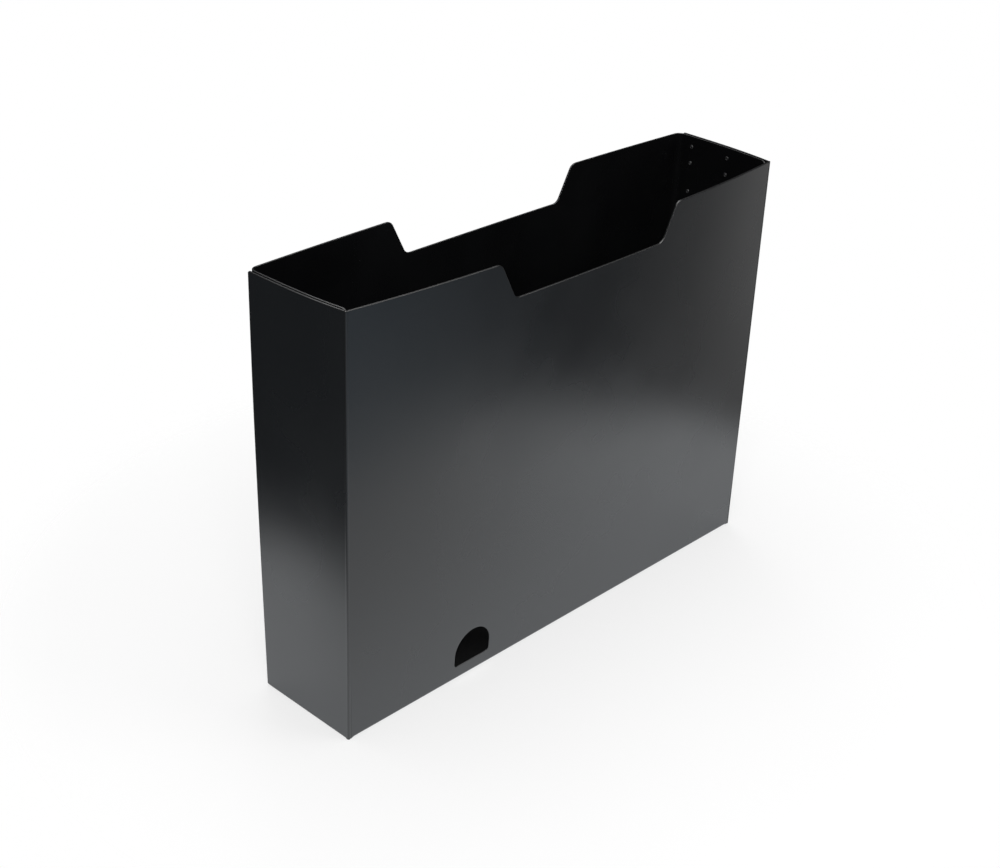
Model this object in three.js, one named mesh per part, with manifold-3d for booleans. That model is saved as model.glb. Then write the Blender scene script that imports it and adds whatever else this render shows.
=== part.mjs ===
// An open-topped box for documents, folded from one die-cut sheet of black polypropylene.
// Millimetres, +Z up. The origin is the middle of the underside, and the front wall, which has
// the finger hole, faces -Y. The front wall's side flaps are the outer layer of both ends, the
// back wall's side flaps are the inner layer, and rows of small spot welds join the two.

import * as THREE from 'three';
import { mergeVertices } from 'three/addons/utils/BufferGeometryUtils.js';
import Module from 'manifold-3d';

// The folded box at its foot, over the outside of the sheet
const boxLength = 320;
const boxDepth = 68;
const boxHeight = 240;
const sheetThickness = 1;

// Creases: crisp ones at the front and the foot, soft ones at the two back corners
const creaseInsideRadius = 0.3;
const backFoldInsideRadius = 4;

// Flaps of the two ends
const layerGap = 0.9;
const outerFlapSetback = 2.5;
const innerFlapSetback = 0.8;
const outerFlapCornerRadius = 1;
const innerFlapCornerRadius = 2.5;
const flapLift = 0.5;

// How far the free rim stands out from the straight lines between the corners
const frontBulge = 8.5;
const backBulge = 3.3;
const bulgeFullness = 2.5;
const endSplay = 3.5;
const splayPower = 3;

// Notches in the middle of both long walls
const notchTopWidth = 134;
const notchFloorWidth = 113;
const notchDepth = 20.5;
const notchCornerRadius = 5;

// Finger hole, low in the front wall towards its left end
const fingerHoleFromEnd = 88.5;
const fingerHoleWidth = 26;
const fingerHoleHeight = 20.2;
const fingerHoleSill = 8;
const fingerHoleTopFlat = 0.4;
const fingerHoleCornerRadius = 2;

// Tabs turned up at the ends of the bottom, inside the end flaps
const endTabHeight = 22;
const endTabSetback = 6;
const endTabGap = 0.4;

// Spot welds through the layers of each end
const weldDiameter = 2.6;
const weldColumns = 2;
const weldColumnPitch = 26.5;
const weldBackMargin = 11;
const weldMargin = 10;
const weldFirstRow = 6.5;
const weldSecondRow = 16.5;
const weldThirdRow = 34;
const weldRowPitch = 34;
const endTabWeldHeight = 12;

// Fineness of the faceted surfaces
const wallSteps = 20;
const flapSteps = 6;
const foldSteps = 4;
const heightSteps = 6;
const arcSteps = 4;
const weldSides = 6;

// Clear reach of a cutter past the sheet that it cuts
const cutReach = 6;

// Faces and lines that the pieces share
const halfLength = boxLength / 2;
const frontFace = -boxDepth / 2;
const backFace = boxDepth / 2;
const creaseRadius = sheetThickness + creaseInsideRadius;
const backFoldRadius = sheetThickness + backFoldInsideRadius;
const innerLayerFace = halfLength - sheetThickness - layerGap;
const endTabFace = innerLayerFace - sheetThickness - endTabGap;
const outerFlapEdge = backFace - outerFlapSetback;
const outerFlapFold = frontFace + creaseRadius;
const innerFlapEdge = frontFace + sheetThickness + innerFlapSetback;
const innerFlapFold = backFace - backFoldRadius;

const kernel = await Module();
kernel.setup();

// Turns a closed three.js geometry into a solid that can be joined and cut.
function solidOf(geometry) {
  const bare = geometry.index ? geometry.toNonIndexed() : geometry.clone();
  bare.deleteAttribute('normal');
  bare.deleteAttribute('uv');
  const merged = mergeVertices(bare, 1e-4);
  return new kernel.Manifold(new kernel.Mesh({
    numProp: 3,
    vertProperties: new Float32Array(merged.attributes.position.array),
    triVerts: new Uint32Array(merged.index.array),
  }));
}

function geometryOf(solid) {
  const mesh = solid.getMesh();
  const geometry = new THREE.BufferGeometry();
  geometry.setAttribute('position', new THREE.BufferAttribute(mesh.vertProperties, 3));
  geometry.setIndex(new THREE.BufferAttribute(mesh.triVerts, 1));
  geometry.computeVertexNormals();
  return geometry;
}

// Share of the rim's bulge at a height: none at the foot's crease, all of it at the rim.
function rise(z) {
  const share = Math.max(0, (z - creaseRadius) / (boxHeight - creaseRadius));
  return Math.sin(Math.PI / 2 * share);
}

// Bulge of a wall held at both of its side folds, along share 0 to 1 of its length.
function bulgeShape(share) {
  return 1 - Math.abs(2 * share - 1) ** bulgeFullness;
}

// How far both layers of an end lean out at the rim, from the outer flap's fold to its free edge.
function endLean(y) {
  const share = THREE.MathUtils.clamp((y - outerFlapFold) / (outerFlapEdge - outerFlapFold), 0, 1);
  return endSplay * (1 - (1 - share) ** splayPower);
}

// A station of a sheet's plan: a point on its outside, the way that faces, its push at the rim,
// and how far it is drawn along X at the rim.
function station(x, y, facing, push = 0, lean = 0) {
  return { x, y, facing, push, lean };
}

function straightStations(steps, place) {
  return Array.from({ length: steps + 1 }, (_, i) => place(i / steps));
}

// A fold of 90 degrees about a vertical line, without its first and last station.
function foldStations(centreX, centreY, radius, startAngle, lean = 0) {
  const stations = [];
  for (let i = 1; i < foldSteps; i += 1) {
    const angle = startAngle + Math.PI / 2 * (i / foldSteps);
    const facing = new THREE.Vector2(Math.cos(angle), Math.sin(angle));
    stations.push(station(centreX + radius * facing.x, centreY + radius * facing.y, facing, 0, lean));
  }
  return stations;
}

// Front wall with the two outer flaps, from the left flap's free edge to the right one's.
function frontWrapPlan() {
  const left = new THREE.Vector2(-1, 0);
  const front = new THREE.Vector2(0, -1);
  const right = new THREE.Vector2(1, 0);
  const flapLength = outerFlapEdge - outerFlapFold;
  const straight = halfLength - creaseRadius;
  return [
    ...straightStations(flapSteps, (s) => {
      const y = outerFlapEdge - s * flapLength;
      return station(-halfLength, y, left, endLean(y));
    }),
    ...foldStations(-straight, outerFlapFold, creaseRadius, Math.PI),
    ...straightStations(wallSteps, (s) => station(
      -straight + 2 * straight * s, frontFace, front, frontBulge * bulgeShape(s),
    )),
    ...foldStations(straight, outerFlapFold, creaseRadius, Math.PI * 1.5),
    ...straightStations(flapSteps, (s) => {
      const y = outerFlapFold + s * flapLength;
      return station(halfLength, y, right, endLean(y));
    }),
  ];
}

// Back wall with the two inner flaps, from the right flap's free edge to the left one's. The inner
// flaps lie along the outer ones, so the back corners lean out with them.
function backWrapPlan() {
  const left = new THREE.Vector2(-1, 0);
  const back = new THREE.Vector2(0, 1);
  const right = new THREE.Vector2(1, 0);
  const flapLength = innerFlapFold - innerFlapEdge;
  const straight = innerLayerFace - backFoldRadius;
  const lean = endLean(innerFlapFold);
  return [
    ...straightStations(flapSteps, (s) => {
      const y = innerFlapEdge + s * flapLength;
      return station(innerLayerFace, y, right, endLean(y));
    }),
    ...foldStations(straight, innerFlapFold, backFoldRadius, 0, lean),
    ...straightStations(wallSteps, (s) => station(
      straight - 2 * straight * s, backFace, back, backBulge * bulgeShape(s), lean * (1 - 2 * s),
    )),
    ...foldStations(-straight, innerFlapFold, backFoldRadius, Math.PI / 2, -lean),
    ...straightStations(flapSteps, (s) => {
      const y = innerFlapFold - s * flapLength;
      return station(-innerLayerFace, y, left, endLean(y));
    }),
  ];
}

// Heights of the facets' rows: the foot, the top of its crease, and even steps up to the rim.
function rowHeights() {
  const heights = [0];
  for (let j = 0; j <= heightSteps; j += 1) {
    heights.push(creaseRadius + (boxHeight - creaseRadius) * (j / heightSteps));
  }
  return heights;
}

// A standing sheet of the plan's shape, with its two faces, its rim, its foot and its free edges.
function standingSheet(plan) {
  const heights = rowHeights();
  const rows = heights.length;
  const positions = [];
  for (const depth of [0, sheetThickness]) {
    for (const { x, y, facing, push, lean } of plan) {
      for (const z of heights) {
        const out = push * rise(z) - depth;
        positions.push(x + facing.x * out + lean * rise(z), y + facing.y * out, z);
      }
    }
  }
  const outside = (i, j) => i * rows + j;
  const inside = (i, j) => (plan.length + i) * rows + j;
  const triangles = [];
  const quad = (a, b, c, d) => triangles.push(a, b, c, a, c, d);
  const last = plan.length - 1;
  const top = rows - 1;
  for (let i = 0; i < last; i += 1) {
    for (let j = 0; j < top; j += 1) {
      quad(outside(i, j), outside(i + 1, j), outside(i + 1, j + 1), outside(i, j + 1));
      quad(inside(i + 1, j), inside(i, j), inside(i, j + 1), inside(i + 1, j + 1));
    }
    quad(inside(i, 0), inside(i + 1, 0), outside(i + 1, 0), outside(i, 0));
    quad(outside(i, top), outside(i + 1, top), inside(i + 1, top), inside(i, top));
  }
  for (let j = 0; j < top; j += 1) {
    quad(inside(0, j), outside(0, j), outside(0, j + 1), inside(0, j + 1));
    quad(outside(last, j), inside(last, j), inside(last, j + 1), outside(last, j + 1));
  }
  const geometry = new THREE.BufferGeometry();
  geometry.setAttribute('position', new THREE.Float32BufferAttribute(positions, 3));
  geometry.setIndex(triangles);
  return solidOf(geometry);
}

// A closed outline through corner points [x, y, radius], each rounded by an arc.
function roundedShape(corners) {
  const shape = new THREE.Shape();
  corners.forEach(([x, y, radius], i) => {
    const corner = new THREE.Vector2(x, y);
    const before = new THREE.Vector2(...corners.at(i - 1).slice(0, 2)).sub(corner).normalize();
    const after = new THREE.Vector2(...corners[(i + 1) % corners.length].slice(0, 2)).sub(corner).normalize();
    const reach = radius / Math.tan(Math.acos(before.dot(after)) / 2);
    const start = corner.clone().addScaledVector(before, reach);
    if (i === 0) shape.moveTo(start.x, start.y);
    else shape.lineTo(start.x, start.y);
    if (radius === 0) return;
    const middle = before.clone().add(after).normalize();
    const centre = corner.clone().addScaledVector(middle, Math.hypot(reach, radius));
    const end = corner.clone().addScaledVector(after, reach);
    const startAngle = start.clone().sub(centre).angle();
    const endAngle = end.clone().sub(centre).angle();
    shape.absarc(centre.x, centre.y, radius, startAngle, endAngle, before.cross(after) > 0);
  });
  shape.closePath();
  return shape;
}

// A prism of an outline drawn in X and Z, running along Y between two places.
function prismAlongY(shape, fromY, toY) {
  const geometry = new THREE.ExtrudeGeometry(shape, {
    depth: toY - fromY, bevelEnabled: false, curveSegments: arcSteps,
  });
  geometry.rotateX(Math.PI / 2);
  geometry.translate(0, toY, 0);
  return solidOf(geometry);
}

// A prism of an outline drawn in Y and Z, running along X between two places.
function prismAlongX(shape, fromX, toX) {
  const geometry = new THREE.ExtrudeGeometry(shape, {
    depth: toX - fromX, bevelEnabled: false, curveSegments: arcSteps,
  });
  geometry.rotateX(Math.PI / 2);
  geometry.rotateZ(Math.PI / 2);
  geometry.translate(fromX, 0, 0);
  return solidOf(geometry);
}

function block(low, high) {
  const size = high.map((value, axis) => value - low[axis]);
  const geometry = new THREE.BoxGeometry(...size);
  geometry.translate(...low.map((value, axis) => value + size[axis] / 2));
  return solidOf(geometry);
}

// What rounds off a square corner at (u, v). The signs point from the corner out of the sheet.
function cornerShape(u, v, radius, outU, outV) {
  const centreU = u - outU * radius;
  const centreV = v - outV * radius;
  const shape = new THREE.Shape();
  const startAngle = outU > 0 ? 0 : Math.PI;
  const endAngle = outV > 0 ? Math.PI / 2 : Math.PI * 1.5;
  shape.moveTo(u + outU * cutReach, centreV);
  shape.lineTo(u, centreV);
  shape.absarc(centreU, centreV, radius, startAngle, endAngle, outU * outV < 0);
  shape.lineTo(centreU, v + outV * cutReach);
  shape.lineTo(u + outU * cutReach, v + outV * cutReach);
  shape.closePath();
  return shape;
}

// The bottom panel, with a tab turned up at each of its ends.
function bottomPanel() {
  const profile = roundedShape([
    [-endTabFace, endTabHeight, 0],
    [-endTabFace, 0, creaseRadius],
    [endTabFace, 0, creaseRadius],
    [endTabFace, endTabHeight, 0],
    [endTabFace - sheetThickness, endTabHeight, 0],
    [endTabFace - sheetThickness, sheetThickness, creaseInsideRadius],
    [-endTabFace + sheetThickness, sheetThickness, creaseInsideRadius],
    [-endTabFace + sheetThickness, endTabHeight, 0],
  ]);
  const tabbed = prismAlongY(profile, frontFace + endTabSetback, backFace - endTabSetback);
  const straight = innerLayerFace - backFoldRadius;
  const middle = sheetThickness / 2;
  const panel = block([-straight, frontFace + middle, 0], [straight, backFace - middle, sheetThickness]);
  return tabbed.add(panel);
}

// A plug of fused sheet, standing across one end's layers at (y, z).
function weldPlug(side, fromX, toX, y, z) {
  const geometry = new THREE.CylinderGeometry(weldDiameter / 2, weldDiameter / 2, toX - fromX, weldSides);
  geometry.rotateZ(Math.PI / 2);
  geometry.translate(side * (fromX + toX) / 2, y, z);
  return solidOf(geometry);
}

function weldHeights() {
  const heights = [boxHeight - weldFirstRow, boxHeight - weldSecondRow];
  const lowest = endTabHeight + weldMargin;
  for (let z = boxHeight - weldThirdRow; z >= lowest; z -= weldRowPitch) heights.push(z);
  return heights;
}

// Spot welds of one end: rows through both flaps, and a last row that takes in the bottom's tab.
function welds(side) {
  const plugs = [];
  const outerMiddle = (y, z) => halfLength - sheetThickness / 2 + endLean(y) * rise(z);
  const innerMiddle = (y, z) => innerLayerFace - sheetThickness / 2 + endLean(y) * rise(z);
  for (let column = 0; column < weldColumns; column += 1) {
    const y = backFace - weldBackMargin - column * weldColumnPitch;
    for (const z of weldHeights()) {
      plugs.push(weldPlug(side, innerMiddle(y, z), outerMiddle(y, z), y, z));
    }
    const tabMiddle = endTabFace - sheetThickness / 2;
    plugs.push(weldPlug(side, tabMiddle, outerMiddle(y, endTabWeldHeight), y, endTabWeldHeight));
  }
  return plugs;
}

function notchShape() {
  const flank = (notchTopWidth - notchFloorWidth) / 2;
  const lean = Math.atan2(notchDepth, flank);
  const roundOff = notchCornerRadius * Math.tan(lean / 2);
  const half = notchTopWidth / 2;
  const floor = boxHeight - notchDepth;
  const shape = new THREE.Shape();
  shape.moveTo(-half - roundOff, boxHeight + cutReach);
  shape.lineTo(-half - roundOff, boxHeight);
  const shoulder = boxHeight - notchCornerRadius;
  shape.absarc(-half - roundOff, shoulder, notchCornerRadius, Math.PI / 2, Math.PI / 2 - lean, true);
  const heel = floor + notchCornerRadius;
  const heelX = notchFloorWidth / 2 - roundOff;
  shape.absarc(-heelX, heel, notchCornerRadius, Math.PI * 1.5 - lean, Math.PI * 1.5, false);
  shape.absarc(heelX, heel, notchCornerRadius, -Math.PI / 2, lean - Math.PI / 2, false);
  shape.absarc(half + roundOff, shoulder, notchCornerRadius, Math.PI / 2 + lean, Math.PI / 2, true);
  shape.lineTo(half + roundOff, boxHeight + cutReach);
  shape.closePath();
  return shape;
}

function fingerHoleShape() {
  const centre = -halfLength + fingerHoleFromEnd;
  const half = fingerHoleWidth / 2;
  const top = fingerHoleSill + fingerHoleHeight;
  const topRadius = (fingerHoleWidth - fingerHoleTopFlat) / 2;
  return roundedShape([
    [centre - half, fingerHoleSill, fingerHoleCornerRadius],
    [centre + half, fingerHoleSill, fingerHoleCornerRadius],
    [centre + half, top, topRadius],
    [centre - half, top, topRadius],
  ]);
}

// Cuts through the front wrap: its notch, the finger hole and the outer flaps' free corners.
function frontWrap() {
  const inFront = frontFace - frontBulge - cutReach;
  const behind = frontFace + cutReach;
  let solid = standingSheet(frontWrapPlan())
    .subtract(prismAlongY(notchShape(), inFront, behind))
    .subtract(prismAlongY(fingerHoleShape(), inFront, behind));
  const reach = halfLength + endSplay + cutReach;
  for (const [edge, out] of [[flapLift, -1], [boxHeight, 1]]) {
    const corner = cornerShape(outerFlapEdge, edge, outerFlapCornerRadius, 1, out);
    solid = solid.subtract(prismAlongX(corner, -reach, reach));
  }
  return solid;
}

// Cuts through the back wrap: its notch and the inner flaps' free corners.
function backWrap() {
  const reach = halfLength + cutReach;
  const corner = cornerShape(innerFlapEdge, boxHeight, innerFlapCornerRadius, -1, 1);
  return standingSheet(backWrapPlan())
    .subtract(prismAlongY(notchShape(), backFace - cutReach, backFace + backBulge + cutReach))
    .subtract(prismAlongX(corner, -reach, reach));
}

// The foot: the long walls turn under with rounded creases, and the flaps clear the ground.
function trimFoot(solid) {
  const reach = halfLength + endSplay + cutReach;
  let trimmed = solid
    .subtract(prismAlongX(cornerShape(frontFace, 0, creaseRadius, -1, -1), -reach, reach))
    .subtract(prismAlongX(cornerShape(backFace, 0, creaseRadius, 1, -1), -reach, reach));
  const inward = endTabFace + endTabGap / 2;
  for (const [low, high] of [[-reach, -inward], [inward, reach]]) {
    trimmed = trimmed.subtract(block([low, frontFace + creaseRadius, -cutReach], [high, backFace + cutReach, flapLift]));
  }
  return trimmed;
}

function foldedBox() {
  let solid = frontWrap().add(backWrap()).add(bottomPanel());
  for (const plug of [...welds(-1), ...welds(1)]) solid = solid.add(plug);
  return geometryOf(trimFoot(solid));
}

const blackPolypropylene = new THREE.MeshStandardMaterial({
  name: 'black_polypropylene', color: 0x1a1a1c, roughness: 0.42, metalness: 0,
});

const foldedSheet = new THREE.Mesh(foldedBox(), blackPolypropylene);
foldedSheet.name = 'folded_box';

const documentBox = new THREE.Group();
documentBox.name = 'document_box';
documentBox.add(foldedSheet);

export default documentBox;
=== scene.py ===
"""Dresses an upright, open-topped document box that is folded from one sheet of black polypropylene.

The folded sheet is one mesh, grown over the plan of its front wrap, its back wrap and its bottom.
The spot welds that fuse the layers of both ends are made by Geometry Nodes. The frame is the CAD
model's: the origin is the middle of the underside and the front wall, with the finger hole, faces -Y.
Sizes are in millimetres until a mesh is built, which is in metres.
"""

import logging
import math
from collections.abc import Callable, Sequence
from dataclasses import dataclass, field
from enum import Enum

import bmesh
import bpy
import numpy as np
from mathutils import Matrix, Vector, noise


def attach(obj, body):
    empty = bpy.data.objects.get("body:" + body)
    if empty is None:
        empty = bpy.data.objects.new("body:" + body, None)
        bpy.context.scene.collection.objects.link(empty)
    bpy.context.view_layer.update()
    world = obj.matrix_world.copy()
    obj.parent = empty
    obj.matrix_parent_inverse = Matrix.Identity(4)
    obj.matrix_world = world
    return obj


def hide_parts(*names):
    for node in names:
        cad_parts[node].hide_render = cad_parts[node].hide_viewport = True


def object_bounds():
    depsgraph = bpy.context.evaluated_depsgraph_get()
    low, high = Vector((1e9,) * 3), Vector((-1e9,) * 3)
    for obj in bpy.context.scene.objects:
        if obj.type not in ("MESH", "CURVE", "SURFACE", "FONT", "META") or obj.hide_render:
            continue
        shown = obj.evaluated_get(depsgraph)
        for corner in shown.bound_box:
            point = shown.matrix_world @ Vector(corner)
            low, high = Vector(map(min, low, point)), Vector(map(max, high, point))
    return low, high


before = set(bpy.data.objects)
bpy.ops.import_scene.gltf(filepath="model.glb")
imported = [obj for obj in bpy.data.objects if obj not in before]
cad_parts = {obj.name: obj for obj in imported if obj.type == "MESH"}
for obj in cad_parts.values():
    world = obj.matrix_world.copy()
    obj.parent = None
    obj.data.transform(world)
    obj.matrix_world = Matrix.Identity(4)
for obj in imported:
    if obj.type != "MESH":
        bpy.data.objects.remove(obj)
CAD_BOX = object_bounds()

LOG = logging.getLogger("document_box")
MM = 0.001
CAD_NODE = "folded_box"
CAD_BODY = "root"
SLACK = 1e-6
WHITE = (1.0, 1.0, 1.0, 1.0)

Pair = tuple[float, float]
Triple = tuple[float, float, float]
Colour = tuple[float, float, float, float]
Socket = bpy.types.NodeSocket


class End(Enum):
    """The two ends of the box, each with the sign of its X."""

    LEFT = -1
    RIGHT = 1


class Layer(Enum):
    """Which layer of an end a flap is."""

    OUTER = "outer"
    INNER = "inner"


@dataclass(frozen=True)
class SheetSizes:
    """Sizes of the folded sheet, in millimetres over its outside at the foot."""

    length: float = 320.0
    depth: float = 68.0
    height: float = 240.0
    thickness: float = 1.0
    crease_radius: float = 1.3
    back_fold_radius: float = 5.0
    layer_gap: float = 0.9
    outer_flap_setback: float = 2.5
    inner_flap_setback: float = 0.8
    outer_flap_corner: float = 1.0
    inner_flap_corner: float = 2.5
    flap_lift: float = 0.5
    flap_lift_reach: float = 1.0
    front_bulge: float = 8.5
    back_bulge: float = 3.3
    bulge_fullness: float = 2.5
    end_splay: float = 3.5
    splay_power: float = 3.0
    tab_height: float = 22.0
    tab_setback: float = 6.0
    tab_gap: float = 0.4
    tab_corner: float = 4.0
    wave: float = 0.45
    end_wave: float = 0.2
    wave_length: float = 95.0

    @property
    def half_length(self) -> float:
        """The outer face of the end's outer layer."""
        return self.length / 2

    @property
    def half_depth(self) -> float:
        """The outer face of the long walls at the foot."""
        return self.depth / 2

    @property
    def inner_layer_face(self) -> float:
        """The outer face of the end's inner layer."""
        return self.half_length - self.thickness - self.layer_gap

    @property
    def tab_face(self) -> float:
        """The outer face of the bottom's end tabs."""
        return self.inner_layer_face - self.thickness - self.tab_gap

    @property
    def front_straight(self) -> float:
        """Where the front wall ends and its corner crease begins."""
        return self.half_length - self.crease_radius

    @property
    def back_straight(self) -> float:
        """Where the back wall ends and its soft corner fold begins."""
        return self.inner_layer_face - self.back_fold_radius

    @property
    def outer_flap_span(self) -> Pair:
        """The outer flap's Y at its fold and at its free edge."""
        return -self.half_depth + self.crease_radius, self.half_depth - self.outer_flap_setback

    @property
    def inner_flap_span(self) -> Pair:
        """The inner flap's Y at its free edge and at its fold."""
        return (
            -self.half_depth + self.thickness + self.inner_flap_setback,
            self.half_depth - self.back_fold_radius,
        )

    def rise(self, z: float) -> float:
        """Gives the share of the rim's bulge that a height has.

        Args:
            z: the height.

        Returns:
            0 at the foot's crease, up to 1 at the rim.
        """
        share = max(0.0, (z - self.crease_radius) / (self.height - self.crease_radius))
        return math.sin(math.pi / 2 * min(share, 1.0))

    def bulge(self, x: float, half: float) -> float:
        """Gives the shape of a wall's bulge between its two folds.

        Args:
            x: the place along the wall.
            half: half of the wall's straight length.

        Returns:
            0 at the folds and 1 in the middle.
        """
        return 1 - min(abs(x / half), 1.0) ** self.bulge_fullness

    def flap_push(self, y: float) -> float:
        """Gives how far both layers of an end lean out at the rim.

        Args:
            y: the place across the end.

        Returns:
            The lean in millimetres.
        """
        fold, edge = self.outer_flap_span
        share = min(max((y - fold) / (edge - fold), 0.0), 1.0)
        return self.end_splay * (1 - (1 - share) ** self.splay_power)

    @property
    def back_lean(self) -> float:
        """How far the back corners lean out at the rim with the flaps."""
        return self.flap_push(self.inner_flap_span[1])


@dataclass(frozen=True)
class Notch:
    """The trapezoid cut from the middle of a long wall's rim, with rounded corners."""

    top_width: float = 134.0
    floor_width: float = 113.0
    depth: float = 20.5
    corner_radius: float = 5.0

    @property
    def lean(self) -> float:
        """The flank's angle from the rim."""
        return math.atan2(self.depth, (self.top_width - self.floor_width) / 2)

    @property
    def half_reach(self) -> float:
        """Where the rounded shoulder begins, from the middle."""
        return self.top_width / 2 + self.corner_radius * math.tan(self.lean / 2)

    @property
    def half_floor(self) -> float:
        """Where the straight floor ends, from the middle."""
        return self.floor_width / 2 - self.corner_radius * math.tan(self.lean / 2)

    def drop(self, x: float) -> float:
        """Gives how far the rim is cut down.

        Args:
            x: the place along the wall, from its middle.

        Returns:
            The depth of the cut in millimetres.
        """
        radius = self.corner_radius
        place = abs(x)
        sweep = radius * math.sin(self.lean)
        if place >= self.half_reach:
            return 0.0
        if place >= self.half_reach - sweep:
            return radius - math.sqrt(radius**2 - (self.half_reach - place) ** 2)
        if place <= self.half_floor:
            return self.depth
        if place <= self.half_floor + sweep:
            return self.depth - radius + math.sqrt(radius**2 - (place - self.half_floor) ** 2)
        shoulder = radius * (1 - math.cos(self.lean))
        along = self.half_reach - sweep - place
        return shoulder + along * math.tan(self.lean)


@dataclass(frozen=True)
class FingerHole:
    """The small round-topped hole low in the front wall, towards its left end."""

    from_end: float = 88.5
    width: float = 26.0
    height: float = 20.2
    sill: float = 8.0
    corner_radius: float = 2.0
    block_margin: float = 6.5
    block_foot: float = 2.5
    block_top: float = 36.0
    outline_step: float = math.radians(3)

    def centre(self, sizes: SheetSizes) -> Pair:
        """Gives the hole's middle as X and Z, from the box's sizes."""
        return self.from_end - sizes.half_length, self.sill + self.height - self.width / 2

    def outline(self, sizes: SheetSizes) -> tuple[np.ndarray, np.ndarray, np.ndarray]:
        """Walks the hole's edge anticlockwise.

        Args:
            sizes: the sheet's sizes.

        Returns:
            The angles about the hole's centre, and the X and the Z of the edge there.
        """
        x, z = self.centre(sizes)
        half = self.width / 2
        inset = half - self.corner_radius
        arcs = (
            (x, z, half, 0.0, math.pi),
            (x - inset, self.sill + self.corner_radius, self.corner_radius, math.pi, 1.5 * math.pi),
            (x + inset, self.sill + self.corner_radius, self.corner_radius, 1.5 * math.pi, 2 * math.pi),
        )
        points = []
        for centre_x, centre_z, radius, start, end in arcs:
            for angle in np.arange(start, end + self.outline_step / 2, self.outline_step):
                points.append((centre_x + radius * math.cos(angle), centre_z + radius * math.sin(angle)))
        edge = np.array(points)
        angles = np.unwrap(np.arctan2(edge[:, 1] - z, edge[:, 0] - x))
        return angles, edge[:, 0], edge[:, 1]


def graded(start: float, *zones: Pair) -> list[float]:
    """Divides a line into zones of even steps.

    Args:
        start: where the line begins.
        zones: each zone's end and its largest step.

    Returns:
        All places, with both ends and each zone's end among them.
    """
    places = [start]
    for end, step in zones:
        begin = places[-1]
        count = max(1, math.ceil(abs(end - begin) / step - 1e-9))
        places += [begin + (end - begin) * (i + 1) / count for i in range(count)]
    return places


def rounding(distance: float, radius: float) -> float:
    """Gives how far a rounded corner is cut back.

    Args:
        distance: the distance from the free edge.
        radius: the corner's radius.

    Returns:
        The cut in millimetres.
    """
    if distance >= radius:
        return 0.0
    return radius - math.sqrt(max(0.0, radius**2 - (radius - distance) ** 2))


def eased(value: float, low: float, high: float) -> float:
    """Rises smoothly from 0 at low to 1 at high.

    Args:
        value: the place.
        low: where the rise begins.
        high: where it ends.

    Returns:
        A share between 0 and 1.
    """
    share = min(max((value - low) / (high - low), 0.0), 1.0)
    return share * share * (3 - 2 * share)


@dataclass(frozen=True)
class Station:
    """One upright line on the outside of a standing sheet, in millimetres.

    Attributes:
        place: where it stands at the foot, in plan.
        facing: the way that the outside faces, in plan.
        push: how far the rim stands out here.
        lean: how far the rim is drawn along X here.
        from_fold: how far along the sheet the middle of the front crease is, onto the front wall.
        curl: how much of the sheet turns under the foot, from 0 to 1.
        rim_drop: how far the rim is cut down.
        foot_lift: how far the foot is cut up.
        wave: how far the sheet may wave in from its true place.
    """

    place: Pair
    facing: Pair
    push: float = 0.0
    lean: float = 0.0
    from_fold: float = math.inf
    curl: float = 0.0
    rim_drop: float = 0.0
    foot_lift: float = 0.0
    wave: float = 0.0


@dataclass
class MeshSketch:
    """Collects points in millimetres and the faces between them, and joins points that coincide."""

    merge_step: float = 1e-4
    points: list[tuple[float, ...]] = field(default_factory=list)
    faces: list[tuple[int, ...]] = field(default_factory=list)
    known: dict[tuple[int, ...], int] = field(default_factory=dict)

    def point(self, place: Vector) -> int:
        """Adds a point, or finds the one that is already there, and returns its number."""
        key = tuple(round(value / self.merge_step) for value in place)
        if key not in self.known:
            self.known[key] = len(self.points)
            self.points.append(tuple(value * MM for value in place))
        return self.known[key]

    def grid(
        self,
        columns: Sequence[Sequence[Vector]],
        skip: Callable[[int, int], bool] = lambda column, row: False,
    ) -> None:
        """Adds a grid of four-sided faces, whose outside is across by up.

        Args:
            columns: the columns of points, each from its first row up.
            skip: says which cells stay open.
        """
        numbers = [[self.point(place) for place in column] for column in columns]
        for i in range(len(numbers) - 1):
            for j in range(len(numbers[i]) - 1):
                if not skip(i, j):
                    near, far = numbers[i], numbers[i + 1]
                    self.faces.append((near[j], far[j], far[j + 1], near[j + 1]))

    def rings(self, loops: Sequence[Sequence[Vector]]) -> None:
        """Adds faces between closed loops of the same number of points, from the outside in."""
        numbers = [[self.point(place) for place in loop] for loop in loops]
        for outer, inner in zip(numbers, numbers[1:]):
            for k, number in enumerate(outer):
                after = (k + 1) % len(outer)
                self.faces.append((number, outer[after], inner[after], inner[k]))

    def build(self, name: str) -> bpy.types.Object:
        """Makes an object of the collected points and faces, shaded smooth.

        Args:
            name: the object's name.

        Returns:
            The object, at the origin and in the scene.
        """
        mesh = bpy.data.meshes.new(name)
        mesh.from_pydata(self.points, [], self.faces)
        mesh.validate()
        mesh.shade_smooth()
        return added(name, mesh)


def added(name: str, data: bpy.types.ID) -> bpy.types.Object:
    """Puts a new object into the scene, at the origin.

    Args:
        name: the object's name.
        data: its mesh, lamp or camera.

    Returns:
        The object.
    """
    made = bpy.data.objects.new(name, data)
    bpy.context.scene.collection.objects.link(made)
    return made


def made_plain(piece: bpy.types.Object) -> bpy.types.Object:
    """Turns what an object's modifiers make into its own mesh, and removes the modifiers.

    Args:
        piece: the object, with its modifiers set.

    Returns:
        The same object.
    """
    graph = bpy.context.evaluated_depsgraph_get()
    result = bpy.data.meshes.new_from_object(piece.evaluated_get(graph), depsgraph=graph)
    source = piece.data
    piece.modifiers.clear()
    piece.data = result
    name = source.name
    bpy.data.meshes.remove(source)
    result.name = name
    return piece


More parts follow.
